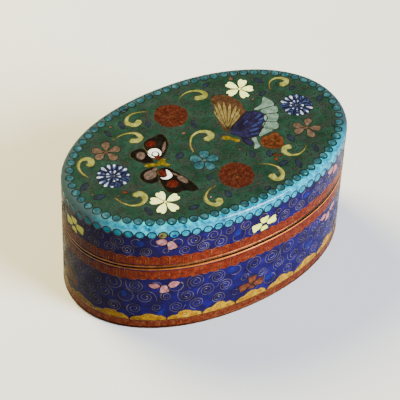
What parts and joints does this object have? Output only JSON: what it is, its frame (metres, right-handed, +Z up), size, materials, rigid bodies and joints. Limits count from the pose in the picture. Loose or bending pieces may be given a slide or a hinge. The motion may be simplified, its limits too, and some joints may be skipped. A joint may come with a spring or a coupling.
{
  "type": "oval pill box",
  "caption": "Small oval enamelled copper box with upright walls and a flat lift-off lid that fits over an inner collar, for pills or trinkets.",
  "frame": {"origin": "on the ground plane, under the middle of the box", "axes": "+X along the oval's length, +Y across it, +Z up through the lid"},
  "size_m": [0.06, 0.0382, 0.0278],
  "materials": {
    "copper": "satin, worn",
    "green": "gloss enamel",
    "blue": "gloss enamel",
    "red": "gloss enamel",
    "ochre": "gloss enamel",
    "turquoise": "gloss enamel",
    "white": "gloss enamel",
    "rose": "gloss enamel",
    "pale_blue": "gloss enamel",
    "orange": "gloss enamel",
    "cream": "gloss enamel",
    "black": "gloss enamel",
    "yellow": "gloss enamel",
    "brown": "gloss enamel",
    "violet": "gloss enamel",
    "pale_green": "gloss enamel",
    "lining": "gloss counter-enamel"
  },
  "bodies": {
    "base": {"base_foot_rim": "copper", "base_wall": "copper", "base_mouth_rim": "copper", "base_floor": "copper", "inner_collar": "copper", "base_lower_red_enamel": "red", "base_ochre_cloud_enamel": "ochre", "base_blue_enamel": "blue", "base_upper_red_enamel": "red", "base_floor_lining": "lining", "base_wall_lining": "lining", "base_underside_enamel": "lining"},
    "lid": {"lid_mouth_rim": "copper", "lid_wall": "copper", "lid_top_plate": "copper", "lid_red_enamel": "red", "lid_blue_enamel": "blue", "lid_shoulder_enamel": "turquoise", "lid_top_enamel": "green", "lid_ceiling_lining": "lining", "lid_wall_lining": "lining", "white_flower_left": "white", "white_flower_right": "white", "rose_flower_left": "rose", "rose_flower_right": "rose", "turquoise_flower": "turquoise", "blue_aster_left": "pale_blue", "blue_aster_right": "pale_blue", "red_aster_back": "red", "red_aster_front": "red", "orange_lotus": "orange", "dark_butterfly_back_forewing": "black", "dark_butterfly_back_hindwing": "black", "dark_butterfly_front_hindwing": "black", "dark_butterfly_front_forewing": "black", "dark_butterfly_body": "yellow", "blue_butterfly_brown_wing": "brown", "blue_butterfly_blue_wing": "violet", "blue_butterfly_pale_wing": "pale_green", "blue_butterfly_body": "yellow", "scroll_back_right": "cream", "scroll_back_left": "cream", "scroll_left_of_wing": "cream", "scroll_left_end": "cream", "scroll_left_front": "cream", "scroll_centre": "cream", "scroll_front_left": "cream", "scroll_right_back": "cream", "scroll_right_front": "cream", "scroll_front_right": "cream"}
  },
  "joints": [
    {"name": "lid_lift", "type": "slide", "parent": "base", "child": "lid", "axis": [0, 0, 1], "range_m": [0, 0.03]}
  ]
}
